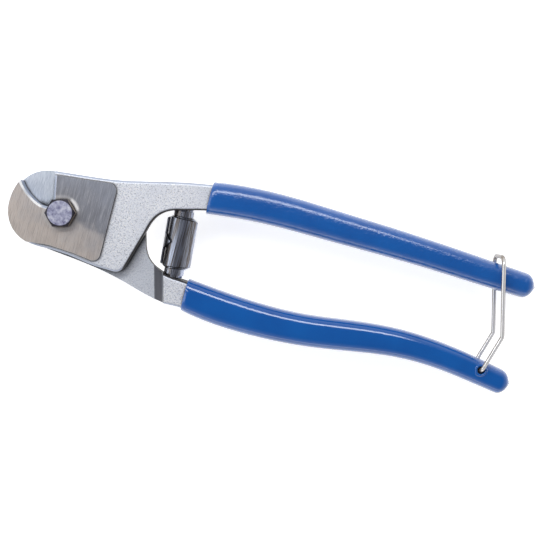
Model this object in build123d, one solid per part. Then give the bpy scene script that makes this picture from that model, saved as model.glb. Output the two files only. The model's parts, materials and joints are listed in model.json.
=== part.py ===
from build123d import *
import os

# Hand wire cutter: two half-lapped forged levers on a bolt, a double volute
# spring between them, dipped vinyl grips and a wire bail that holds them shut.
# Millimetres. The pivot axis is Z through the origin, and z = 0 is the end of
# the pivot bolt, which is the lowest point of the tool as it lies on its back.
# +X runs from the pivot to the handle ends and +Y to the upper handle.
# The front lever has its lap on the +Z side and the upper handle.
# The rear lever is the same forging turned over about X, with its own handle.

# Pivot bolt, washer and nut
bolt_diameter = 6.0
bolt_running_gap = 0.05
bolt_head_flats = 10.0
bolt_head_height = 4.0
bolt_head_crown = 9.3
bolt_head_turn = 15.0
bolt_end_chamfer = 0.7
bolt_end_proud = 0.6
nut_height = 5.0
nut_thread_gap = 0.02
washer_diameter = 12.0
washer_bore = 6.4
washer_thickness = 1.0

# Forged levers
lap_thickness = 5.5
lap_running_gap = 0.05
forging_round = 1.0
pad_height = 1.0
pad_edge = 17.8
pad_corner_radius = 2.8
pad_ledge = 1.5
pad_kink_radius = 18.0

# Outline of the forged head, for the lever with the upper handle
head_outer = [(-5.6, 14.6), (4.0, 15.6), (17.5, 17.3), (31.0, 20.4), (44.0, 23.3)]
head_inner = [(44.0, 12.7), (38.4, 10.9), (35.0, 8.2), (32.9, 4.2), (31.8, 0.2)]
heel_corner = (26.9, -16.6)
heel_radius = 4.2
head_lower = [(18.0, -16.3), (8.0, -15.0), (-2.0, -14.4)]
head_nose = [(-8.6, -14.2), (-14.4, -11.9), (-18.5, -7.2), (-19.9, 0.2), (-17.8, 8.0)]
head_crown = [(-14.6, 11.9), (-10.4, 13.9)]
pad_nose_exit = (-9.8, -13.7)
pad_run_out_drop = 16.0

# Throat between the cutting edge and the straight wall behind it
cutting_edge = [(-17.8, 8.0), (-15.2, 4.9), (-11.6, 2.3), (-8.2, 0.9), (-5.6, 0.9)]
throat_root = (-4.35, 1.75)
throat_wall_foot = (-4.0, 3.4)
throat_wall_top = (-6.7, 18.0)
throat_run_out = (-25.8, 17.0)
cutting_bevel = 0.8

# Hollow ramp where the half lap grows into the full handle
ramp_foot = (38.9, 14.7)
ramp_angle = -15.0
ramp_length = 4.0
ramp_sag = 0.9

# Handles, each station: distance from pivot, height of centre line, width over vinyl
upper_handle = [(52.0, 19.7, 12.6), (64.0, 21.1, 12.8), (83.0, 21.8, 12.6), (102.0, 21.4, 12.1),
                (121.0, 21.0, 11.5), (140.0, 20.3, 10.9), (160.0, 19.2, 10.4), (171.0, 18.6, 10.0)]
lower_handle = [(52.0, 18.3, 12.6), (62.0, 19.6, 13.3), (80.0, 20.6, 13.0), (99.0, 19.9, 12.5),
                (117.0, 17.5, 12.2), (136.0, 15.5, 11.1), (153.0, 16.1, 10.4), (165.0, 17.7, 10.2),
                (172.0, 18.9, 9.9)]
upper_tip = 180.6
lower_tip = 181.2
tip_radius = 4.4

# Dipped vinyl grips
vinyl_wall = 1.3
vinyl_gap = 0.04
grip_round = 3.6
drip_radius = 1.6
drip_reach = 0.6

# Studs and the double volute spring between them
upper_seat = (43.8, 13.3)
lower_seat = (46.0, -12.9)
stud_flange_diameter = 6.8
stud_flange_height = 0.9
stud_nose_diameter = 3.6
stud_nose_length = 4.0
stud_shank_diameter = 3.2
stud_shank_length = 4.5
stud_shank_chamfer = 0.3
stud_nose_chamfer = 0.6
stud_hole_spare = 0.5
stud_press_gap = 0.01
spot_face_margin = 0.5
spot_face_clear = 4.0
spring_strip = 0.55
spring_pitch = 0.92
spring_half_turns = 7
spring_barrel_diameter = 11.7
spring_barrel_length = 17.4
spring_neck_diameter = 7.6
spring_seat_gap = 0.05
spring_shoulder = 1.4
spring_tongue_length = 2.2
spring_tongue_width = 2.6

# Wire bail
bail_wire = 1.6
bail_pivot = (168.2, -17.0)
bail_elbow = (172.3, -2.6)
bail_top = (164.8, 26.6)
bail_running_gap = 0.06
bail_side_gap = 0.45
bail_corner_radius = 3.4
bail_elbow_radius = 3.0
bail_end_radius = 1.7
bail_end_reach = 4.6
eye_radius = 1.4
eye_rim_width = 0.7
eye_rim_height = 0.3

# Heights that follow from the sizes above
nut_face = bolt_end_proud
washer_face = nut_face + nut_height
rear_pad_face = washer_face + washer_thickness
shear_plane = rear_pad_face + pad_height + lap_thickness
front_pad_face = shear_plane + lap_thickness + pad_height
grip_half = lap_thickness + vinyl_wall
bail_side = grip_half + bail_side_gap + bail_wire / 2

# Cutters reach past the levers, and edges are picked within a margin
reach = 60.0
cut_margin = 3.0
pick_margin = 0.1


def towards(start, end):
    return Vector(*end) - Vector(*start)


def handle_end(top, low, tip_x, radius):
    # round end whose sides run on straight from the long edges
    corners = []
    for point, way in ((top @ 1, top % 1), (low @ 0, (low % 0) * -1.0)):
        corners.append(point + way * ((tip_x - point.X) / way.X))
    return FilletPolyline(top @ 1, *corners, low @ 0, radius=radius).edges()


def handle_outline(lead_in, stations, tip_x, inset, lead_out, lead_way):
    # outer edge, round end and inner edge of a handle, each smooth and tangent to the next
    outer = [(x, y + w / 2 - inset) for x, y, w in stations]
    inner = [(x, y - w / 2 + inset) for x, y, w in reversed(stations)]
    low_points = inner + lead_out
    top = Spline(*(lead_in + outer))
    low = Spline(*low_points, tangents=[towards(*low_points[:2]), lead_way or towards(*low_points[-2:])])
    return [top, *handle_end(top, low, tip_x - inset, tip_radius - inset), low]


def lever_face(stations, tip_x, inset):
    # head and tang in one outline, before the throat is cut
    heel_way = towards(head_inner[-1], heel_corner)
    bar = handle_outline(head_outer, stations, tip_x, inset, head_inner, heel_way)
    heel = FilletPolyline(head_inner[-1], heel_corner, head_lower[0], radius=heel_radius)
    round_head = [*head_lower, *head_nose, *head_crown, head_outer[0]]
    nose = Spline(*round_head, tangents=[towards(heel_corner, head_lower[0]), bar[0] % 0])
    return make_face([*bar, *heel.edges(), nose])


def grip_face(stations, tip_x, inset):
    bar = handle_outline([], stations, tip_x, inset, [], None)
    return make_face([*bar, Line(bar[-1] @ 1, bar[0] @ 0)])


def throat_face():
    # the bite ahead of the pivot, run out past the silhouette
    edge = Spline(*cutting_edge)
    root = ThreePointArc(cutting_edge[-1], throat_root, throat_wall_foot)
    sides = Polyline(throat_wall_foot, throat_wall_top, throat_run_out, cutting_edge[0])
    return make_face([edge, root, *sides.edges()])


def pad_face():
    # ground area round the pivot: a ledge above and below, open to the nose
    top = [(x, y - pad_ledge) for x, y in head_outer[:2]]
    bottom = [(x, y + pad_ledge) for x, y in head_lower[1:]]
    top_corner = (pad_edge, head_outer[2][1] - pad_ledge)
    bottom_corner = (pad_edge, head_lower[0][1] + pad_ledge)
    points = [(-reach, top[0][1]), *top, top_corner, bottom_corner, *bottom, pad_nose_exit,
              (-reach, bottom[-1][1] - pad_run_out_drop)]
    radii = [pad_kink_radius] * 2 + [pad_corner_radius] * 2 + [pad_kink_radius] * 3
    edge = FilletPolyline(*points, radius=radii)
    return make_face([*edge.edges(), Line(points[-1], points[0])])


def ramp_cutter():
    # all that lies behind the lap, ended by a hollow ramp across the bar
    deep = -(lap_thickness + pad_height + cut_margin)
    far = -2 * reach
    foot = (0.0, lap_running_gap)
    drop = lap_running_gap + lap_thickness
    crest = (ramp_length, -lap_thickness)
    middle = (ramp_length / 2 + ramp_sag, lap_running_gap - drop / 2 + ramp_sag)
    hollow = ThreePointArc(foot, middle, crest)
    rest = Polyline(crest, (ramp_length, deep), (far, deep), (far, lap_running_gap), foot)
    profile = Plane.XZ * make_face([hollow, *rest.edges()])
    block = extrude(profile, reach, both=True)
    return Pos(*ramp_foot, 0) * Rot(0, 0, ramp_angle) * block


def blank(stations, tip_x, inset, half):
    # head and tang as a bar with rounded rims, centred on the shear plane
    face = lever_face(stations, tip_x, inset)
    bar = extrude(Pos(0, 0, -half) * face, 2 * half)
    rims = bar.edges().group_by(Axis.Z)
    return fillet(rims[0] + rims[-1], forging_round)


def lever(stations, tip_x, seat, seat_way):
    # the front lever, with the shear plane at z = 0 and its lap above it
    inset = vinyl_wall + vinyl_gap
    top = lap_thickness + pad_height
    bar = blank(stations, tip_x, inset, lap_thickness)
    bar += extrude(lever_face(stations, tip_x, inset), top) & extrude(pad_face(), top)
    bar -= ramp_cutter()
    bar -= extrude(throat_face(), reach, both=True)
    bar -= Cylinder(bolt_diameter / 2 + bolt_running_gap, reach)
    bar -= stud_socket(seat, seat_way, 0.0)
    return bevelled(bar, top)


def bevelled(bar, top):
    # the narrow ground bevel on the face side of the cutting edge
    left, high = cutting_edge[0]
    right, low = cutting_edge[-1]
    bite = []
    for edge in bar.edges().filter_by_position(Axis.Z, top - pick_margin, top + pick_margin):
        middle = edge @ 0.5
        if left < middle.X < right and low - pick_margin < middle.Y < high:
            bite.append(edge)
    return chamfer(bite, cutting_bevel)


def turned_over(solid):
    return Rot(180, 0, 0) * solid


def raised(solid):
    return Pos(0, 0, shear_plane) * solid


def seat_plane(seat, way, height):
    return Plane(origin=(seat[0], seat[1], height), x_dir=(1, 0, 0), z_dir=(way.X, way.Y, 0))


def stud_socket(seat, way, height):
    # spot face with a hole in it for the stud
    face_radius = stud_flange_diameter / 2 + spot_face_margin
    hole_radius = stud_shank_diameter / 2 + stud_press_gap
    hole_depth = stud_shank_length + stud_hole_spare
    face = Pos(0, 0, spot_face_clear / 2) * Cylinder(face_radius, spot_face_clear)
    hole = Pos(0, 0, -hole_depth / 2) * Cylinder(hole_radius, hole_depth)
    return seat_plane(seat, way, height).location * (face + hole)


def stud(seat, way):
    # turned stud: pressed shank, flange for the spring end and a nose inside the coils
    shank = stud_shank_diameter / 2
    flange = stud_flange_diameter / 2
    nose = stud_nose_diameter / 2
    end = stud_flange_height + stud_nose_length
    points = [(0, -stud_shank_length), (shank - stud_shank_chamfer, -stud_shank_length),
              (shank, -stud_shank_length + stud_shank_chamfer), (shank, 0), (flange, 0),
              (flange, stud_flange_height), (nose, stud_flange_height), (nose, end - stud_nose_chamfer),
              (nose - stud_nose_chamfer, end), (0, end)]
    profile = Plane.XZ * make_face(Polyline(*points, close=True).edges())
    return seat_plane(seat, way, shear_plane).location * revolve(profile, Axis.Z)


def volute_spring():
    # one flat strip wound outwards, long at the core and ending in a pointed tongue
    length = towards(lower_seat, upper_seat).length - 2 * (stud_flange_height + spring_seat_gap)
    barrel = spring_barrel_diameter / 2
    neck = spring_neck_diameter / 2
    half_barrel = spring_barrel_length / 2
    step = spring_pitch / 2
    coil = Part()
    for turn in range(spring_half_turns):
        inner = barrel - spring_strip - step * (spring_half_turns - 1 - turn)
        side = -1 if turn % 2 == 0 else 1
        shift = 0 if turn % 2 == 0 else -step
        half = strip_ring(inner) & (Pos(0, side * reach / 2) * Rectangle(reach, reach))
        coil += extrude(Pos(shift, 0, -length / 2) * half, length)
    flare = spring_shoulder
    envelope = [(0, -length / 2), (neck, -length / 2), (neck, -half_barrel - flare), (barrel, -half_barrel),
                (barrel * 2, -half_barrel), (barrel * 2, half_barrel), (barrel, half_barrel),
                (neck, half_barrel + flare), (neck, length / 2), (0, length / 2)]
    coil = coil & revolve(Plane.XZ * make_face(Polyline(*envelope, close=True).edges()), Axis.Z)
    return coil + spring_tongue(barrel, step)


def strip_ring(inner):
    return Circle(inner + spring_strip) - Circle(inner)


def spring_tongue(barrel, step):
    # the free end of the strip, a point on the outside of the barrel
    start = barrel - spring_strip
    apex = start - spring_tongue_length
    quarter = strip_ring(start + step) & (Pos(reach / 2 + apex + step, reach / 2) * Rectangle(reach, reach))
    band = extrude(Pos(-step, 0, -spring_tongue_width) * quarter, 2 * spring_tongue_width)
    slope = spring_tongue_width / spring_tongue_length
    end = spring_tongue_length + cut_margin
    point = Polyline((apex, 0), (apex + end, slope * end), (apex + end, -slope * end), close=True)
    return band & extrude(Plane.XZ * make_face(point.edges()), reach, both=True)


def bail():
    # one wire: an end in each side of the eye, two kinked legs and the crosspiece
    inside = grip_half - bail_end_reach
    points = []
    for (x, y), height in ((bail_pivot, inside), (bail_pivot, bail_side), (bail_elbow, bail_side),
                           (bail_top, bail_side)):
        points.append((x, y, shear_plane + height))
    points += [(x, y, 2 * shear_plane - z) for x, y, z in reversed(points)]
    radii = [bail_end_radius, bail_elbow_radius, bail_corner_radius]
    line = FilletPolyline(*points, radius=radii + radii[::-1])
    section = Plane(origin=line @ 0, z_dir=line % 0) * Circle(bail_wire / 2)
    return sweep(section, path=line)


def grip(stations, tip_x, eye):
    # dipped sleeve: a bar a wall thicker than the tang, hollowed by the tang
    face = grip_face(stations, tip_x, 0)
    sleeve = extrude(Pos(0, 0, -grip_half) * face, 2 * grip_half)
    rims = sleeve.edges().group_by(Axis.Z)
    mouth = stations[0][0] + pick_margin
    sleeve = fillet([e for e in rims[0] + rims[-1] if (e @ 0.5).X > mouth], grip_round)
    end = sleeve.faces().sort_by(Axis.X)[-1].center()
    sleeve += Pos(end.X - drip_radius + drip_reach, end.Y, 0) * Sphere(drip_radius)
    if eye:
        sleeve += Pos(*eye, 0) * Cylinder(eye_radius + eye_rim_width, 2 * (grip_half + eye_rim_height))
    sleeve -= blank(stations, tip_x, vinyl_wall, lap_thickness + vinyl_gap)
    if eye:
        sleeve -= Pos(*eye, 0) * Cylinder(eye_radius, reach)
    return sleeve


def hexagon(height):
    # hexagon with both ends turned to a crown at 30 degrees
    cosine, tangent = 0.866, 0.577
    corner = bolt_head_flats / 2 / cosine
    crown = bolt_head_crown / 2
    drop = (corner - crown) * tangent
    profile = [(0, 0), (crown, 0), (corner, drop), (corner, height - drop), (crown, height), (0, height)]
    prism = extrude(RegularPolygon(bolt_head_flats / 2, 6, major_radius=False), height)
    return prism & revolve(Plane.XZ * make_face(Polyline(*profile, close=True).edges()), Axis.Z)


def pivot_bolt():
    shank_length = front_pad_face
    shank = Pos(0, 0, shank_length / 2) * Cylinder(bolt_diameter / 2, shank_length)
    shank = chamfer(shank.edges().sort_by(Axis.Z)[0], bolt_end_chamfer)
    head = Pos(0, 0, front_pad_face) * Rot(0, 0, bolt_head_turn) * hexagon(bolt_head_height)
    return shank + head


def pivot_nut():
    bore = Cylinder(bolt_diameter / 2 + nut_thread_gap, reach)
    return Pos(0, 0, nut_face) * (hexagon(nut_height) - bore)


def pivot_washer():
    ring = Circle(washer_diameter / 2) - Circle(washer_bore / 2)
    return Pos(0, 0, washer_face) * extrude(ring, washer_thickness)


def flipped(point):
    return (point[0], -point[1])


def wire_cutter():
    down = towards(upper_seat, lower_seat)
    up = towards(lower_seat, upper_seat)
    eye = flipped(bail_pivot)
    front = lever(upper_handle, upper_tip, upper_seat, down)
    rear = lever(lower_handle, lower_tip, flipped(lower_seat), Vector(up.X, -up.Y))
    rear -= Pos(*eye, 0) * Cylinder(bail_wire / 2 + bail_running_gap, reach)
    middle = (Vector(*upper_seat) + Vector(*lower_seat)) / 2
    spring_place = Plane(origin=(middle.X, middle.Y, shear_plane), x_dir=(-1, 0, 0), z_dir=(up.X, up.Y, 0))
    return {
        "front_lever": raised(front),
        "rear_lever": raised(turned_over(rear)),
        "upper_grip": raised(grip(upper_handle, upper_tip, None)),
        "lower_grip": raised(turned_over(grip(lower_handle, lower_tip, eye))),
        "pivot_bolt": pivot_bolt(),
        "pivot_nut": pivot_nut(),
        "pivot_washer": pivot_washer(),
        "upper_spring_stud": stud(upper_seat, down),
        "lower_spring_stud": stud(lower_seat, up),
        "volute_spring": spring_place.location * volute_spring(),
        "wire_bail": bail(),
    }


os.makedirs("parts", exist_ok=True)
for name, solid in wire_cutter().items():
    export_step(solid, f"parts/{name}.step")
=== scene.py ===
import json
import math

import bmesh
import bpy
from mathutils import Matrix, Vector
from mathutils.bvhtree import BVHTree

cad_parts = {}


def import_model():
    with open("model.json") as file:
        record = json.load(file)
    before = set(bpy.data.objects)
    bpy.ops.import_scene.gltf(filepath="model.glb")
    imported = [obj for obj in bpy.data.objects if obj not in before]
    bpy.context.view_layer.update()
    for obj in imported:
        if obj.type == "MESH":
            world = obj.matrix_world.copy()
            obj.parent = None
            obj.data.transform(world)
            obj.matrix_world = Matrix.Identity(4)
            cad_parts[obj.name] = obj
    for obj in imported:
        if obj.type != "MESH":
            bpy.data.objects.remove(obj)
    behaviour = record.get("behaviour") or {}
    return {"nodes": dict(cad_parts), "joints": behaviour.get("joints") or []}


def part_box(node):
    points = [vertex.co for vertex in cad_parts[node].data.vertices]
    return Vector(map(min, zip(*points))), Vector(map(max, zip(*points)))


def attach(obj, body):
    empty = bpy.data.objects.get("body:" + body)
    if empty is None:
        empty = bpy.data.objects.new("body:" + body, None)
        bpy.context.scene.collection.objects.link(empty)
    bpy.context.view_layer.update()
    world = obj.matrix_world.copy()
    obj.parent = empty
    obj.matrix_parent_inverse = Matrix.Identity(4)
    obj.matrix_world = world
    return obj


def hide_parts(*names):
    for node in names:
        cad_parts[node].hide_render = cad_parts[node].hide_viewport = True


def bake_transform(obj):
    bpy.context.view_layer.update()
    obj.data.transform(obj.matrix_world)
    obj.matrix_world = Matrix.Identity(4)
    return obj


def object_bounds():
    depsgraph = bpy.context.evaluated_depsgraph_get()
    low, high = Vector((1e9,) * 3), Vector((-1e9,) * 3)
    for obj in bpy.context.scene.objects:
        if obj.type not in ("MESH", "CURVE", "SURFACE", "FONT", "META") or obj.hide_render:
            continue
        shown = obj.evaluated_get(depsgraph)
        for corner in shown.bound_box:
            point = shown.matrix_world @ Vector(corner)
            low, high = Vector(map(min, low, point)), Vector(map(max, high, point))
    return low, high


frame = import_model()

# Looks of a hand wire cutter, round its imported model. Metres, in the model's frame:
# pivot on Z, +X to the handle ends, +Y to the upper handle.

CAD_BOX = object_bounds()
MM = 0.001

# Places in the model. The spring's axis leans by SPRING_LEAN degrees, and the handles'
# inner walls face OPENING.
PAD_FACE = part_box("front_lever")[1].z
REAR_PAD_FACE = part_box("rear_lever")[0].z
SHEAR = (PAD_FACE + REAR_PAD_FACE) / 2
PAD_HEIGHT = 1.0 * MM
LAP = PAD_FACE - SHEAR - PAD_HEIGHT
GRIP_HALF = (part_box("upper_grip")[1].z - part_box("upper_grip")[0].z) / 2
EYE = Vector(next(j for j in frame["joints"] if j["name"] == "bail_swing")["pos_m"])
SPRING_LEAN = -4.8
OPENING = Vector((47.0 * MM, 0.0, SHEAR))

# Camera, fitted to the photograph's outline: tilt and roll in degrees
CAMERA_TARGET = Vector((83.45, -2.38, 13.1)) * MM
CAMERA_DISTANCE = 420 * MM
CAMERA_TILT = (1.82, -3.34)
CAMERA_ROLL = -14.92
FOCAL_PIXELS = 1097.9
IMAGE_WIDTH = 550
SENSOR = 36.0
CAMERA_CLIP = (0.01, 50)

# Lamps: place (right, up the picture, above), size, power and colour
LAMPS = {
    "key": ((-0.1, 0.42, 0.67), (0.9, 0.18), 3.5, (1.0, 1.0, 1.0)),
    "fill": ((0.0, -0.7, 0.12), (0.9, 0.10), 0.45, (1.0, 0.93, 0.86)),
    "side": ((-0.7, 0.0, 0.4), (0.3, 0.6), 0.9, (0.9, 0.95, 1.0)),
}
FLOOR_SIZE = 3.0
FLOOR_GLOW = 0.72
FLOOR_GREY = (0.80, 0.80, 0.80, 1)
FLOOR_GAP = 0.05 * MM
WORLD_STRENGTH = 0.85
SKY = [(0.30, (1.0, 1.0, 1.0)), (0.85, (0.17, 0.17, 0.19))]

# Grip shape
GRIP_STATIONS = 110
GRIP_AROUND = 56
STATION_CROWDING = 1.8
TIP_ROUND = 3.6 * MM
TIP_DRAWN_IN = 0.7 * MM
TIP_SQUARENESS = 2.2
TIP_SAMPLE = 0.5 * MM
GRIP_WALL = 1.25 * MM
LIP_ROUND = 0.35 * MM
LIP_ROLL = 0.3 * MM
MOUTH_DEPTH = 3 * MM
NUB_LENGTH = 0.6 * MM
NUB_RADIUS = 2.1 * MM
NUB_TAPER = 0.75
NUB_POINT = 0.05 * MM
MEASURE_MARGIN = 0.02 * MM
RAY_REACH = 0.1

# The bail's eye in the lower grip
EYE_RADIUS = 1.4 * MM
EYE_SEGMENTS = 48
EYE_RIM = 0.55 * MM
EYE_RIM_SUNK = 0.15 * MM
EYE_RIM_ROWS = 10
EYE_RIM_WOBBLE = (0.05, 0.04)
EYE_CUT = 6 * GRIP_HALF
SHARP_ANGLE = 50

# Where a surface changes, from the first value to the second. The first three are
# distances from the shear plane, the bounds of the pale ring round the bolt and CROWN are
# radii about the pivot, and the rest are places along X.
ON_PAD = (LAP + 0.82 * PAD_HEIGHT, LAP + 0.95 * PAD_HEIGHT)
ON_STEP = (LAP - 0.01 * MM, LAP + 0.06 * MM)
ON_LAP = (0.30 * MM, 0.12 * MM)
INNER_WALLS = (10 * MM, 12 * MM)
BEVEL_END = (-3 * MM, -4 * MM)
WALL_SHADOW = (-10.5 * MM, -9 * MM)
BEHIND_HEEL = (18 * MM, 22 * MM)
PALE_RING_INSIDE = (5.3 * MM, 5.7 * MM)
PALE_RING_OUTSIDE = (7.2 * MM, 6.3 * MM)
BOLT_CROWN = (4.55 * MM, 4.67 * MM)
GRIP_TIP = (179.6 * MM, 181.0 * MM)

# Way from the bolt to the painted glint beside it, and turns of the forging's marks in degrees
PAINTED_GLINT_WAY = (0.69, 0.72)
GRINDING_TURN = 14.9
LAP_STREAKS_TURN = -35

# Colours of the forging, painted light and shade among them
BLASTED = [(0.34, (0.42, 0.45, 0.53)), (0.47, (0.82, 0.85, 0.92)), (0.62, (1.0, 1.0, 1.0))]
CLOUDED = (0.76, 0.79, 0.86)
PITTED = (0.26, 0.26, 0.31)
# the ground pad's colours, with painted warm light low down and painted grey shade higher up
GROUND_AND_PAINTED_LIGHT = [(0.05, (0.90, 0.80, 0.72)), (0.38, (0.76, 0.71, 0.69)), (0.56, (0.40, 0.41, 0.46)),
          (0.95, (0.46, 0.49, 0.57))]
BRIGHT_MARK = (0.98, 0.97, 0.96)
DARK_MARK = (0.28, 0.26, 0.26)
# the paler ring round the bolt, and the painted glint beside it
PALE_RING_AND_PAINTED_GLINT = (0.99, 0.99, 1.0)
LAP_STREAK = (0.52, 0.58, 0.68)
LAP_PALE = (0.76, 0.81, 0.89)
LAP_BEHIND = (0.50, 0.54, 0.62)
LAP_SHADOW = (0.05, 0.05, 0.055)
RAMP_SHADE = (0.09, 0.09, 0.105)
RIM_PALE = (0.46, 0.51, 0.62)
# painted shade on rims and walls that face the other handle, painted light on walls facing up or
# sideways, and painted shade on walls facing down
RIM_INNER_PAINTED_SHADE = (0.06, 0.055, 0.055)
WALL_PAINTED_LIT = (0.40, 0.45, 0.56)
WALL_DOWN_PAINTED_SHADE = (0.13, 0.125, 0.125)
WALL_INNER_PAINTED_SHADE = (0.050, 0.045, 0.042)
# painted shade on the pad's walls and painted shadow at the foot of its step
PAD_WALL_PAINTED_SHADE = (0.04, 0.036, 0.033)
STEP_PAINTED_SHADOW = (0.03, 0.027, 0.025)
# the pad's open edges, worn and painted with a highlight, painted shade in crevices, and the bite's
# ground bevel painted near white as its highlight
WORN_EDGE_AND_HIGHLIGHT = (0.97, 0.98, 1.0)
CREVICE_PAINTED_SHADE = (0.030, 0.027, 0.026)
CUTTING_BEVEL_HIGHLIGHT = (0.98, 0.99, 1.0)

# Colours of the other pieces
VINYL = [(0.3, (0.000, 0.090, 0.385)), (0.7, (0.000, 0.112, 0.445))]
# painted sheen paling the grips' rounded tips
VINYL_TIP_PAINTED_SHEEN = (0.20, 0.36, 0.72)
ZINC = [(0.32, (0.24, 0.24, 0.40)), (0.48, (0.50, 0.51, 0.68)), (0.68, (0.82, 0.83, 0.94))]
# painted shade on the bolt crown's sloping edge and painted warm light on its flats
CROWN_EDGE_PAINTED_SHADE = (0.05, 0.048, 0.060)
BOLT_FLATS_PAINTED_LIGHT = (0.27, 0.215, 0.165)
BLUED = [(0.38, (0.060, 0.050, 0.045)), (0.50, (0.17, 0.155, 0.15)), (0.58, (0.32, 0.35, 0.43)),
         (0.72, (0.62, 0.66, 0.78))]
BROWNED = (0.16, 0.125, 0.10)
WIRE = [(0.3, (0.86, 0.84, 0.82)), (0.7, (0.95, 0.95, 0.96))]
# painted shade down the wire's sides
WIRE_SIDE_PAINTED_SHADE = (0.26, 0.225, 0.19)


def nodes_of(material):
    material.use_nodes = True
    tree = material.node_tree
    tree.nodes.clear()
    shader = tree.nodes.new("ShaderNodeBsdfPrincipled")
    output = tree.nodes.new("ShaderNodeOutputMaterial")
    tree.links.new(shader.outputs[0], output.inputs["Surface"])
    return tree, shader


def fill(tree, sockets, values):
    # each value is set on its socket, or linked to it
    for socket, value in zip(sockets, values):
        if isinstance(value, tuple):
            socket.default_value = (*value, 1)
        elif isinstance(value, (int, float)):
            socket.default_value = value
        else:
            tree.links.new(value, socket)


def calculated(tree, operation, first, second):
    made = tree.nodes.new("ShaderNodeMath")
    made.operation = operation
    fill(tree, made.inputs, (first, second))
    return made.outputs[0]


def color_ramp(tree, factor, stops):
    made = tree.nodes.new("ShaderNodeValToRGB")
    elements = made.color_ramp.elements
    while len(elements) < len(stops):
        elements.new(0.5)
    for element, (position, color) in zip(elements, stops):
        element.position = position
        element.color = (*color, 1)
    tree.links.new(factor, made.inputs[0])
    return made.outputs[0]


class Maker:
    """Short forms for the node set-ups that several materials share."""

    def __init__(self, name):
        self.material = bpy.data.materials.new(name)
        self.tree, self.shader = nodes_of(self.material)
        coordinates = self.tree.nodes.new("ShaderNodeTexCoord")
        self.place = coordinates.outputs["Object"]
        self.facing = coordinates.outputs["Normal"]

    def link(self, out, into):
        self.tree.links.new(out, into)

    def node(self, kind, **values):
        made = self.tree.nodes.new(kind)
        for key, value in values.items():
            setattr(made, key, value)
        return made

    def math(self, operation, first, second=0.0):
        return calculated(self.tree, operation, first, second)

    def times(self, *values):
        result = values[0]
        for value in values[1:]:
            result = self.math("MULTIPLY", result, value)
        return result

    def plus(self, *values):
        result = values[0]
        for value in values[1:]:
            result = self.math("ADD", result, value)
        return result

    def inverse(self, value):
        return self.math("SUBTRACT", 1.0, value)

    def axis(self, name, vector=None):
        split = self.node("ShaderNodeSeparateXYZ")
        self.link(vector or self.place, split.inputs[0])
        return split.outputs[name]

    def level(self):
        # 1 on faces across the pivot's axis, 0 on walls along it
        return self.math("ABSOLUTE", self.axis("Z", self.facing))

    def radius(self):
        # distance from the pivot's axis
        x, y = self.axis("X"), self.axis("Y")
        return self.math("SQRT", self.plus(self.times(x, x), self.times(y, y)))

    def toward(self, point):
        # 1 where the surface faces the point, -1 where it faces away
        way = self.node("ShaderNodeVectorMath", operation="SUBTRACT")
        way.inputs[0].default_value = point
        self.link(self.place, way.inputs[1])
        unit = self.node("ShaderNodeVectorMath", operation="NORMALIZE")
        self.link(way.outputs[0], unit.inputs[0])
        dot = self.node("ShaderNodeVectorMath", operation="DOT_PRODUCT")
        self.link(unit.outputs[0], dot.inputs[0])
        self.link(self.facing, dot.inputs[1])
        return dot.outputs["Value"]

    def crevice(self, distance):
        # 0 in tight corners, 1 in the open
        made = self.node("ShaderNodeAmbientOcclusion", samples=8)
        made.inputs["Distance"].default_value = distance
        return made.outputs["AO"]

    def sharp_edge(self, radius):
        # 1 along sharp edges
        bevel = self.node("ShaderNodeBevel", samples=6)
        bevel.inputs["Radius"].default_value = radius
        dot = self.node("ShaderNodeVectorMath", operation="DOT_PRODUCT")
        self.link(bevel.outputs[0], dot.inputs[0])
        self.link(self.node("ShaderNodeNewGeometry").outputs["Normal"], dot.inputs[1])
        return self.between(dot.outputs["Value"], 0.985, 0.86)

    def mapped(self, scale, turn):
        mapping = self.node("ShaderNodeMapping")
        mapping.inputs["Scale"].default_value = scale
        mapping.inputs["Rotation"].default_value = (0, 0, math.radians(turn))
        self.link(self.place, mapping.inputs["Vector"])
        return mapping.outputs[0]

    def noise(self, size, detail=3.0, roughness=0.55, stretch=(1, 1, 1), turn=0.0):
        # size is the pattern's grain in metres, turn in degrees about the pivot's axis
        made = self.node("ShaderNodeTexNoise")
        made.inputs["Scale"].default_value = 1.0
        made.inputs["Detail"].default_value = detail
        made.inputs["Roughness"].default_value = roughness
        self.link(self.mapped([s / size for s in stretch], turn), made.inputs["Vector"])
        return made.outputs["Fac"]

    def ramp(self, factor, stops):
        return color_ramp(self.tree, factor, stops)

    def mix(self, factor, first, second):
        # of two colours
        made = self.node("ShaderNodeMix", data_type="RGBA")
        sockets = (made.inputs["Factor"], made.inputs[6], made.inputs[7])
        fill(self.tree, sockets, (factor, first, second))
        return made.outputs[2]

    def mix_values(self, factor, first, second):
        made = self.node("ShaderNodeMix", data_type="FLOAT")
        sockets = (made.inputs["Factor"], made.inputs[2], made.inputs[3])
        fill(self.tree, sockets, (factor, first, second))
        return made.outputs[0]

    def between(self, value, low, high):
        # 0 at low, 1 at high, whichever of them is the greater
        made = self.node("ShaderNodeMapRange")
        self.link(value, made.inputs["Value"])
        made.inputs["From Min"].default_value = low
        made.inputs["From Max"].default_value = high
        return made.outputs[0]

    def bump(self, height, distance, strength):
        made = self.node("ShaderNodeBump")
        made.inputs["Distance"].default_value = distance
        made.inputs["Strength"].default_value = strength
        self.link(height, made.inputs["Height"])
        self.link(made.outputs[0], self.shader.inputs["Normal"])

    def color(self, out):
        self.link(out, self.shader.inputs["Base Color"])

    def rough(self, out):
        self.link(out, self.shader.inputs["Roughness"])


def blasted_color(m, grain, speck):
    # pale, clouded and pitted with dark specks
    cloud = m.noise(9 * MM, detail=2)
    clouded = m.mix(m.between(cloud, 0.40, 0.80), m.ramp(grain, BLASTED), CLOUDED)
    return m.mix(m.times(m.between(speck, 0.57, 0.68), 0.8), clouded, PITTED)


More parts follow.
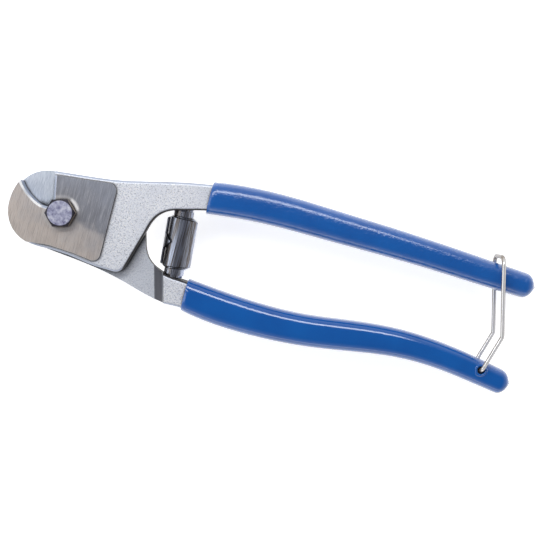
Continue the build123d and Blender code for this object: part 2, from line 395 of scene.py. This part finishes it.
def ground_color(m, lines, pale_ring, painted_glint):
    # painted warm light below and painted grey shade above, with bright and dark grinding marks, a paler
    # ring round the bolt and a painted glint beside it
    patch = m.noise(7 * MM, detail=3)
    # painted light: warm towards the bottom and the nose, grey towards the top and the handles
    painted_light_slope = m.plus(m.times(m.axis("Y"), 1 / (30 * MM)), m.times(m.axis("X"), 1 / (70 * MM)))
    shade = m.plus(painted_light_slope, 0.40, m.times(m.math("SUBTRACT", patch, 0.5), 0.7))
    marked = m.mix(m.times(m.between(lines, 0.50, 0.72), 0.50), m.ramp(shade, GROUND_AND_PAINTED_LIGHT), BRIGHT_MARK)
    marked = m.mix(m.times(m.between(lines, 0.50, 0.30), 0.45), marked, DARK_MARK)
    return m.mix(m.plus(m.times(pale_ring, 0.35), m.times(painted_glint, 0.65)), marked, PALE_RING_AND_PAINTED_GLINT)


def lap_color(m, speckled, behind_heel):
    # ground in the throat, blasted again behind the heel
    streaks = m.noise(0.3 * MM, detail=3, roughness=0.6, stretch=(1, 0.12, 1), turn=LAP_STREAKS_TURN)
    ground = m.mix(m.between(streaks, 0.3, 0.7), LAP_STREAK, LAP_PALE)
    return m.mix(behind_heel, ground, m.mix(0.45, speckled, LAP_BEHIND))


def with_walls(m, base, level, upright, behind_heel):
    # rounded rims and walls, with painted shade where they face down or the other handle and on the ramp
    # behind the heel, and painted light on the other walls
    down = m.between(m.axis("Y", m.facing), 0.10, -0.12)
    inner = m.times(m.between(m.toward(OPENING), -0.05, 0.20), m.between(m.axis("X"), *INNER_WALLS))
    ramp = m.times(behind_heel, m.between(m.axis("X", m.facing), -0.12, -0.32), m.inverse(upright))
    rim = m.times(m.between(level, 0.992, 0.90), m.inverse(ramp))
    base = m.mix(ramp, base, RAMP_SHADE)
    base = m.mix(rim, base, m.mix(inner, RIM_PALE, RIM_INNER_PAINTED_SHADE))
    base = m.mix(upright, base, m.mix(down, WALL_PAINTED_LIT, WALL_DOWN_PAINTED_SHADE))
    return m.mix(m.times(upright, inner), base, WALL_INNER_PAINTED_SHADE)


def forged_steel():
    # blasted forging, brushed ground pad and bright edges, told apart by height, with painted light and
    # shade on its walls, edges and corners
    m = Maker("forged_steel")
    height = m.math("ABSOLUTE", m.math("SUBTRACT", m.axis("Z"), SHEAR))
    on_pad = m.between(height, *ON_PAD)
    off_pad = m.inverse(on_pad)
    on_step = m.times(m.between(height, *ON_STEP), off_pad)
    on_lap = m.between(height, *ON_LAP)
    level = m.level()
    upright = m.between(level, 0.55, 0.35)
    behind_heel = m.between(m.axis("X"), *BEHIND_HEEL)

    # paler ring round the bolt, with a painted glint, a painted reflection of the bolt, on one side of
    # it
    around = m.radius()
    pale_ring = m.times(m.between(around, *PALE_RING_INSIDE), m.between(around, *PALE_RING_OUTSIDE))
    along = m.plus(m.times(m.axis("X"), PAINTED_GLINT_WAY[0]), m.times(m.axis("Y"), PAINTED_GLINT_WAY[1]))
    painted_glint = m.times(pale_ring, m.between(m.math("DIVIDE", along, around), 0.88, 0.95), on_pad)

    grain = m.noise(0.62 * MM, detail=4, roughness=0.75)
    speck = m.noise(0.42 * MM, detail=2, roughness=0.6)
    lines = m.noise(0.17 * MM, detail=3, roughness=0.7, stretch=(1, 0.03, 1), turn=GRINDING_TURN)
    speckled = blasted_color(m, grain, speck)
    brushed = ground_color(m, lines, pale_ring, painted_glint)
    base = m.mix(on_lap, speckled, lap_color(m, speckled, behind_heel))
    base = with_walls(m, base, level, upright, behind_heel)
    # painted shade on the pad's walls and at the foot of its step
    base = m.mix(on_pad, base, m.mix(upright, brushed, PAD_WALL_PAINTED_SHADE))
    base = m.mix(m.times(on_step, upright), base, STEP_PAINTED_SHADOW)

    # worn edges of the pad with a painted highlight, painted shade in corners, a painted shadow beside
    # the throat's wall, and the bevel of the bite painted near white as its highlight
    crevice = m.crevice(1.2 * MM)
    open_edge = m.times(m.sharp_edge(0.22 * MM), m.between(crevice, 0.55, 0.9),
                        m.inverse(upright), on_pad)
    base = m.mix(m.times(open_edge, 0.8), base, WORN_EDGE_AND_HIGHLIGHT)
    base = m.mix(m.between(crevice, 0.42, 0.90), CREVICE_PAINTED_SHADE, base)
    shadow = m.times(m.between(m.crevice(4 * MM), 0.66, 0.56), on_lap,
                     m.between(m.axis("X"), *WALL_SHADOW))
    base = m.mix(shadow, base, LAP_SHADOW)
    bevel = m.times(m.between(level, 0.64, 0.68), m.between(level, 0.77, 0.73),
                    m.between(m.axis("X", m.facing), 0.05, 0.15), m.between(m.axis("X"), *BEVEL_END))
    m.color(m.mix(bevel, base, CUTTING_BEVEL_HIGHLIGHT))

    # no metal under the painted glint, so that it shows white
    m.link(m.times(m.mix_values(on_pad, 0.60, 0.85), m.inverse(painted_glint)), m.shader.inputs["Metallic"])
    m.rough(m.mix_values(on_pad, m.plus(0.42, m.times(grain, 0.16)), m.plus(0.27, m.times(lines, 0.16))))
    relief = m.times(m.plus(m.times(grain, 0.7), m.times(speck, 0.5)), off_pad)
    m.bump(m.plus(relief, m.times(lines, 0.12)), 0.10 * MM, 0.6)
    return m.material


def vinyl(name, peel, dulled, shine):
    # peel is the depth of the dip's orange peel, dulled its roughness and shine its specular level
    m = Maker(name)
    wave = m.noise(6 * MM, detail=2)
    cloud = m.noise(16 * MM, detail=2)
    pebble = m.noise(1.3 * MM, detail=3)
    at_tip = m.between(m.axis("X"), *GRIP_TIP)
    # paler at the tip: a painted sheen on its rounding
    m.color(m.mix(m.times(at_tip, 0.5), m.ramp(cloud, VINYL), VINYL_TIP_PAINTED_SHEEN))
    m.rough(m.plus(dulled, m.times(pebble, 0.14)))
    m.shader.inputs["Specular IOR Level"].default_value = shine
    m.shader.inputs["Coat Weight"].default_value = 0.9
    m.shader.inputs["Coat Roughness"].default_value = dulled
    m.bump(m.plus(wave, m.times(pebble, peel)), 0.24 * MM, 0.6)
    return m.material


def plated_steel(name, crown):
    # mottled zinc, with painted shade where a turned crown slopes away and painted warm light on the
    # flats
    m = Maker(name)
    m.shader.inputs["Metallic"].default_value = 1.0
    mottle = m.noise(1.7 * MM, detail=3, roughness=0.65)
    grit = m.noise(0.3 * MM, detail=3)
    color = m.ramp(mottle, ZINC)
    if crown:
        color = m.mix(m.between(m.radius(), *BOLT_CROWN), color, CROWN_EDGE_PAINTED_SHADE)
        color = m.mix(m.between(m.level(), 0.5, 0.3), color, BOLT_FLATS_PAINTED_LIGHT)
    m.color(color)
    m.rough(m.plus(0.34, m.times(grit, 0.2)))
    m.bump(m.plus(mottle, m.times(grit, 0.5)), 0.05 * MM, 0.5)
    return m.material


def blued_steel():
    # drawn strip: fine lines along the spring's axis
    m = Maker("spring_steel")
    m.shader.inputs["Metallic"].default_value = 1.0
    fine = m.noise(0.45 * MM, detail=3, roughness=0.6, stretch=(1, 0.02, 1), turn=-SPRING_LEAN)
    broad = m.noise(2.2 * MM, detail=2, roughness=0.5, stretch=(1, 0.03, 1), turn=-SPRING_LEAN)
    lines = m.plus(m.times(fine, 0.55), m.times(broad, 0.55))
    patch = m.noise(4 * MM, detail=2)
    m.color(m.mix(m.times(m.between(patch, 0.5, 0.9), 0.6), m.ramp(lines, BLUED), BROWNED))
    m.rough(m.plus(0.20, m.times(fine, 0.18)))
    m.bump(fine, 0.03 * MM, 0.5)
    return m.material


def bright_wire():
    # bright along its top and underside, with brownish painted shade down its sides
    m = Maker("wire")
    m.shader.inputs["Metallic"].default_value = 0.55
    draw = m.noise(0.25 * MM, detail=2, stretch=(1, 0.08, 1))
    patch = m.noise(6 * MM, detail=2)
    m.color(m.mix(m.between(m.level(), 0.85, 0.55), m.ramp(patch, WIRE), WIRE_SIDE_PAINTED_SHADE))
    m.rough(m.plus(0.14, m.times(draw, 0.12)))
    m.bump(draw, 0.02 * MM, 0.4)
    return m.material


def surface_of(mesh):
    # to measure by ray casts
    corners = [v.co.copy() for v in mesh.vertices]
    return BVHTree.FromPolygons(corners, [tuple(p.vertices) for p in mesh.polygons])


def edge_at(tree, x, way):
    # height of the outer edge at this distance along the handle
    return tree.ray_cast(Vector((x, way * RAY_REACH, SHEAR)), Vector((0, -way, 0)))[0].y


def section(x, centre, width, thick, squareness):
    # one ring of a squared ellipse across the handle
    ring = []
    for i in range(GRIP_AROUND):
        a = 2 * math.pi * i / GRIP_AROUND
        c, s = math.cos(a), math.sin(a)
        y = centre + width * math.copysign(abs(c) ** (2 / squareness), c)
        z = SHEAR + thick * math.copysign(abs(s) ** (2 / squareness), s)
        ring.append(Vector((x, y, z)))
    return ring


def shrunk(ring, by, along):
    # the ring drawn in towards its middle, and moved along the handle
    centre = sum(ring, Vector()) / len(ring)
    return [centre + (p - centre) * (1 - by / (p - centre).length) + Vector((along, 0, 0)) for p in ring]


def joined_rings(name, rings, material, closed=True):
    mesh = bpy.data.meshes.new(name)
    build = bmesh.new()
    rows = [[build.verts.new(p) for p in ring] for ring in rings]
    count = len(rings[0])
    for one, two in zip(rows, rows[1:]):
        for i in range(count):
            j = (i + 1) % count
            build.faces.new((one[i], one[j], two[j], two[i]))
    if closed:
        build.faces.new(rows[0])
        build.faces.new(rows[-1])
    bmesh.ops.recalc_face_normals(build, faces=build.faces)
    build.to_mesh(mesh)
    build.free()
    mesh.polygons.foreach_set("use_smooth", [True] * len(mesh.polygons))
    mesh.materials.append(material)
    piece = bpy.data.objects.new(name, mesh)
    bpy.context.collection.objects.link(piece)
    return piece


def sleeve_rings(tree, mouth, tip, squareness):
    # sections along the grip, rounded off at its tip and then drawn out to the drip
    end = tip - NUB_LENGTH
    dip_end = end - TIP_DRAWN_IN
    tip_centre = (edge_at(tree, end - TIP_SAMPLE, 1) + edge_at(tree, end - TIP_SAMPLE, -1)) / 2
    rings = []
    for i in range(GRIP_STATIONS + 1):
        x = mouth + (tip - mouth) * (1 - (1 - i / GRIP_STATIONS) ** STATION_CROWDING)
        into_tip = min(max(0.0, (x - dip_end + TIP_ROUND) / TIP_ROUND), 1.0)
        along = min(max(x + TIP_DRAWN_IN * into_tip, mouth + MEASURE_MARGIN), end - MEASURE_MARGIN)
        top, low = edge_at(tree, along, 1), edge_at(tree, along, -1)
        into_nub = min(max(0.0, (x - dip_end) / (tip - dip_end)), 1.0)
        nub = max(NUB_RADIUS * (1 - into_nub) ** NUB_TAPER, NUB_POINT)
        if x > dip_end:
            width = thick = nub
        else:
            width = max((top - low) / 2, nub)
            thick = GRIP_HALF - TIP_ROUND * (1 - math.sqrt(1 - into_tip ** 2))
        centre = (top + low) / 2 + (tip_centre - (top + low) / 2) * into_tip
        square = squareness + (TIP_SQUARENESS - squareness) * into_tip
        rings.append(section(x, centre, width, thick, square))
    return rings


def grip(name, node, body, material, squareness, eye=False):
    # dipped sleeve with a crowned section, a rolled mouth and a drip on its end
    mouth, tip = (corner.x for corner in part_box(node))
    rings = sleeve_rings(surface_of(frame["nodes"][node].data), mouth, tip, squareness)
    first = rings[0]
    rings[0] = [p + Vector((LIP_ROLL, 0, 0)) for p in first]
    inside = [shrunk(first, GRIP_WALL, MOUTH_DEPTH), shrunk(first, GRIP_WALL, 0),
              shrunk(first, LIP_ROUND, 0)]
    piece = joined_rings(name, inside + rings, material)
    if eye:
        eye_rim(piece, material)
        pierce(piece)
    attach(piece, body)
    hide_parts(node)


def pierce(piece):
    # the bail's eye, right through the grip
    mesh = bpy.data.meshes.new("eye_cutter")
    build = bmesh.new()
    bmesh.ops.create_cone(build, cap_ends=True, segments=EYE_SEGMENTS, radius1=EYE_RADIUS,
                          radius2=EYE_RADIUS, depth=EYE_CUT, matrix=Matrix.Translation(EYE))
    build.to_mesh(mesh)
    build.free()
    cutter = bpy.data.objects.new("eye_cutter", mesh)
    bpy.context.collection.objects.link(cutter)
    cut = piece.modifiers.new("eye", "BOOLEAN")
    cut.object = cutter
    cut.operation = "DIFFERENCE"
    cut.solver = "EXACT"
    depsgraph = bpy.context.evaluated_depsgraph_get()
    pierced = bpy.data.meshes.new_from_object(piece.evaluated_get(depsgraph))
    pierced.set_sharp_from_angle(angle=math.radians(SHARP_ANGLE))
    piece.modifiers.clear()
    piece.data = pierced
    bpy.data.objects.remove(cutter)


def eye_rim(piece, material):
    # uneven raised rim of vinyl round the bail's eye, on each face of the grip
    skin = surface_of(piece.data)
    broad, fine = EYE_RIM_WOBBLE
    for side, name in ((1, "front_eye_rim"), (-1, "back_eye_rim")):
        rings = []
        for k in range(EYE_RIM_ROWS + 1):
            a = math.pi * k / EYE_RIM_ROWS
            r = EYE_RADIUS + EYE_RIM - EYE_RIM * math.cos(a)
            height = side * (EYE_RIM * math.sin(a) - EYE_RIM_SUNK)
            ring = []
            for i in range(GRIP_AROUND):
                b = 2 * math.pi * i / GRIP_AROUND
                wobble = 1 + broad * math.sin(3 * b + side) + fine * math.sin(5 * b)
                x, y = EYE.x + r * wobble * math.cos(b), EYE.y + r * wobble * math.sin(b)
                above = Vector((x, y, SHEAR + side * 2 * GRIP_HALF))
                ground = skin.ray_cast(above, Vector((0, 0, -side)))[0]
                ring.append(Vector((x, y, ground.z + height)))
            rings.append(ring)
        rim = joined_rings(name, rings, material, closed=False)
        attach(rim, "rear_lever")


def spring(material):
    # the strip's own surface, free to stretch between the two levers
    mesh = frame["nodes"]["volute_spring"].data.copy()
    mesh.name = "stretching_spring"
    piece = bpy.data.objects.new("stretching_spring", mesh)
    bpy.context.collection.objects.link(piece)
    mesh.materials.clear()
    mesh.materials.append(material)
    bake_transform(piece)
    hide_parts("volute_spring")


def dress(material, *names):
    for name in names:
        slots = frame["nodes"][name].material_slots
        for slot in slots:
            slot.link = "OBJECT"
            slot.material = material
        if not slots:
            frame["nodes"][name].data.materials.append(material)


def camera():
    data = bpy.data.cameras.new("camera")
    data.sensor_width = SENSOR
    data.lens = FOCAL_PIXELS * SENSOR / IMAGE_WIDTH
    data.clip_start, data.clip_end = CAMERA_CLIP
    obj = bpy.data.objects.new("camera", data)
    bpy.context.collection.objects.link(obj)
    tilt = [math.sin(math.radians(a)) for a in CAMERA_TILT]
    way = Vector((tilt[0], tilt[1], -math.sqrt(1 - tilt[0] ** 2 - tilt[1] ** 2)))
    roll = math.radians(CAMERA_ROLL)
    up = Vector((math.sin(roll), math.cos(roll), 0))
    right = way.cross(up).normalized()
    up = right.cross(way)
    turned = Matrix((right, up, -way)).transposed().to_4x4()
    obj.matrix_world = Matrix.Translation(CAMERA_TARGET - way * CAMERA_DISTANCE) @ turned
    bpy.context.scene.camera = obj
    return right, up


def softbox(name, place, size, power, color):
    data = bpy.data.lights.new(name, "AREA")
    data.shape = "RECTANGLE"
    data.size, data.size_y = size
    data.energy = power
    data.color = color
    obj = bpy.data.objects.new(name, data)
    bpy.context.collection.objects.link(obj)
    obj.location = place
    obj.rotation_mode = "QUATERNION"
    obj.rotation_quaternion = (CAMERA_TARGET - place).to_track_quat("-Z", "Y")


def floor():
    # grey for the light it returns, white to the camera and in reflections
    mesh = bpy.data.meshes.new("floor")
    edge = FLOOR_SIZE / 2
    corners = [(-edge, -edge, 0), (edge, -edge, 0), (edge, edge, 0), (-edge, edge, 0)]
    mesh.from_pydata(corners, [], [(0, 1, 2, 3)])
    obj = bpy.data.objects.new("floor", mesh)
    obj.location.z = CAD_BOX[0].z - FLOOR_GAP
    bpy.context.collection.objects.link(obj)
    material = bpy.data.materials.new("floor")
    tree, shader = nodes_of(material)
    shader.inputs["Base Color"].default_value = FLOOR_GREY
    shader.inputs["Roughness"].default_value = 0.9
    seen = tree.nodes.new("ShaderNodeLightPath")
    glow = calculated(tree, "MAXIMUM", seen.outputs["Is Camera Ray"], seen.outputs["Is Glossy Ray"])
    glow = calculated(tree, "MAXIMUM", glow, seen.outputs["Is Transmission Ray"])
    strength = calculated(tree, "MULTIPLY", glow, FLOOR_GLOW)
    shader.inputs["Emission Color"].default_value = (1, 1, 1, 1)
    tree.links.new(strength, shader.inputs["Emission Strength"])
    mesh.materials.append(material)


def world():
    # bright all round the horizon, dimmer overhead
    made = bpy.data.worlds.new("studio")
    bpy.context.scene.world = made
    made.use_nodes = True
    tree = made.node_tree
    tree.nodes.clear()
    background = tree.nodes.new("ShaderNodeBackground")
    output = tree.nodes.new("ShaderNodeOutputWorld")
    place = tree.nodes.new("ShaderNodeTexCoord")
    split = tree.nodes.new("ShaderNodeSeparateXYZ")
    tree.links.new(place.outputs["Generated"], split.inputs[0])
    tree.links.new(color_ramp(tree, split.outputs["Z"], SKY), background.inputs["Color"])
    background.inputs["Strength"].default_value = WORLD_STRENGTH
    tree.links.new(background.outputs[0], output.inputs["Surface"])


dress(forged_steel(), "front_lever", "rear_lever")
dress(plated_steel("bolt_steel", True), "pivot_bolt", "pivot_nut")
dress(plated_steel("washer_steel", False), "pivot_washer")
strip = blued_steel()
dress(strip, "upper_spring_stud", "lower_spring_stud")
dress(bright_wire(), "wire_bail")
peeled = vinyl("peeled_vinyl", peel=1.5, dulled=0.16, shine=0.65)
smooth = vinyl("smooth_vinyl", peel=0.10, dulled=0.07, shine=0.5)
grip("upper_grip_skin", "upper_grip", "front_lever", peeled, squareness=2.7)
grip("lower_grip_skin", "lower_grip", "rear_lever", smooth, squareness=2.9, eye=True)
spring(strip)

right, up = camera()
for name, ((across, along, above), size, power, color) in LAMPS.items():
    place = CAMERA_TARGET + right * across + up * along + Vector((0, 0, above))
    softbox(name, place, size, power, color)
floor()
world()

bpy.context.scene.view_settings.view_transform = "Standard"
